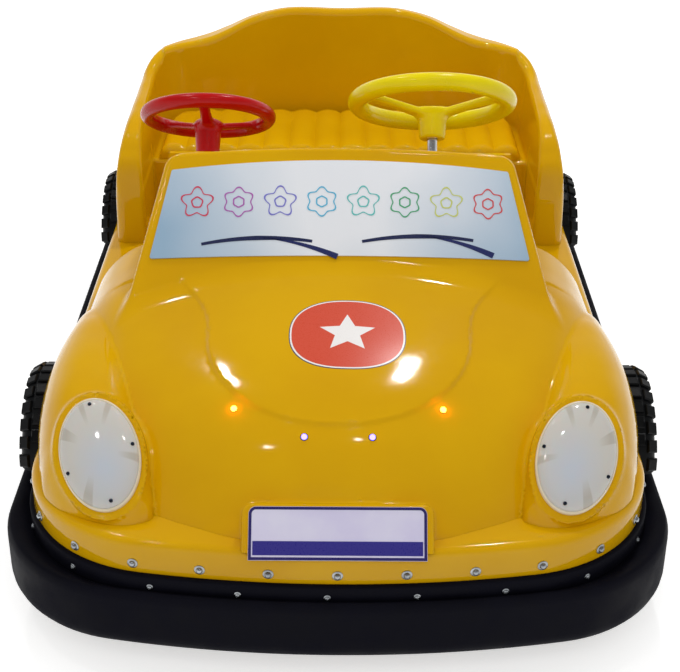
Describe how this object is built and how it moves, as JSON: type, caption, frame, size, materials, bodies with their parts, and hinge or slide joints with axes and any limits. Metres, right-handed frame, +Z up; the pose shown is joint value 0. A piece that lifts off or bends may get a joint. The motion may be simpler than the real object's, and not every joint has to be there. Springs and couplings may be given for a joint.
{
  "type": "two-seat battery bumper car",
  "caption": "Fairground bumper car: round-nosed moulded body on a rubber ring, bench seat, two steering wheels and a steered drive wheel.",
  "frame": {"origin": "on the ground under the middle of the rubber bumper ring", "axes": "+Y to the rear along the length, +X to the driver's side, +Z up"},
  "size_m": [1.144, 1.9396, 0.792],
  "materials": {
    "frp_yellow": "high gloss gelcoat on glass fibre",
    "bumper_black": "moulded rubber, satin",
    "steel_black": "black powder coat",
    "zinc_steel": "zinc plated",
    "chrome_steel": "bright chrome",
    "wheel_black": "moulded, fine grained",
    "wheel_yellow": "moulded, gloss",
    "wheel_red": "moulded, gloss",
    "tyre_black": "solid rubber",
    "hub_grey": "moulded nylon",
    "print_blue": "printed film, gloss",
    "plate_white": "printed film on sheet",
    "lens_white": "translucent opal",
    "lens_amber": "clear tinted",
    "lens_blue": "clear tinted",
    "battery_grey": "moulded case"
  },
  "bodies": {
    "car": {"bumper_rubber": "bumper_black", "bumper_hoop": "steel_black", "chassis_frame": "steel_black", "lower_body": "frp_yellow", "front_cowl": "frp_yellow", "windscreen_panel": "print_blue", "licence_plate": "plate_white", "dashboard": "frp_yellow", "steering_post": "steel_black", "seat_body": "frp_yellow", "bench_seat": "frp_yellow", "battery_tray": "steel_black", "battery_pack": "battery_grey", "accelerator_pedal": "wheel_black", "rear_axle": "zinc_steel", "marker_lights_amber": "lens_amber", "marker_lights_blue": "lens_blue", "dummy_wheel_front_left": "wheel_black", "dummy_wheel_front_right": "wheel_black", "dummy_wheel_rear_left": "wheel_black", "dummy_wheel_rear_right": "wheel_black", "headlight_left": "lens_white", "headlight_right": "lens_white"},
    "steered_fork": {"fork_frame": "steel_black", "drive_motor": "zinc_steel"},
    "drive_wheel": {"drive_tyre": "tyre_black", "drive_hub": "hub_grey"},
    "rear_wheel_left": {"rear_tyre_left": "tyre_black", "rear_hub_left": "hub_grey"},
    "rear_wheel_right": {"rear_tyre_right": "tyre_black", "rear_hub_right": "hub_grey"},
    "driver_steering": {"driver_wheel": "wheel_yellow", "driver_shaft": "chrome_steel"},
    "drop_arm": {"drop_arm": "zinc_steel"},
    "tie_rod": {"tie_rod": "zinc_steel"},
    "passenger_steering": {"passenger_wheel": "wheel_red", "passenger_shaft": "chrome_steel"}
  },
  "joints": [
    {"name": "steer", "type": "hinge", "parent": "car", "child": "steered_fork", "pos_m": [0, -0.62, 0.25], "axis": [0, 0, 1], "range_deg": [-45, 45]},
    {"name": "drive_wheel_spin", "type": "hinge", "parent": "steered_fork", "child": "drive_wheel", "pos_m": [0, -0.62, 0.1], "axis": [1, 0, 0], "continuous": true},
    {"name": "rear_left_spin", "type": "hinge", "parent": "car", "child": "rear_wheel_left", "pos_m": [0.385, 0.52, 0.1], "axis": [1, 0, 0], "continuous": true},
    {"name": "rear_right_spin", "type": "hinge", "parent": "car", "child": "rear_wheel_right", "pos_m": [-0.385, 0.52, 0.1], "axis": [1, 0, 0], "continuous": true},
    {"name": "driver_wheel_turn", "type": "hinge", "parent": "car", "child": "driver_steering", "pos_m": [0.18598, 0.036, 0.689], "axis": [0, 0.5592, 0.829], "range_deg": [-45, 45]},
    {"name": "drop_arm_turn", "type": "hinge", "parent": "car", "child": "drop_arm", "pos_m": [0.18598, -0.18591, 0.36], "axis": [0, 0, 1], "range_deg": [-45, 45]},
    {"name": "tie_rod_swing", "type": "hinge", "parent": "drop_arm", "child": "tie_rod", "pos_m": [0.25032, -0.21348, 0.314], "axis": [0, 0, 1], "range_deg": [-45, 45]},
    {"name": "passenger_wheel_turn", "type": "hinge", "parent": "car", "child": "passenger_steering", "pos_m": [-0.2666, 0.013, 0.665], "axis": [0, 0.5592, 0.829], "continuous": true}
  ],
  "couplings": [
    {"joint": "driver_wheel_turn", "follows": "steer", "ratio": 1},
    {"joint": "drop_arm_turn", "follows": "steer", "ratio": 1},
    {"joint": "tie_rod_swing", "follows": "steer", "ratio": -1}
  ]
}
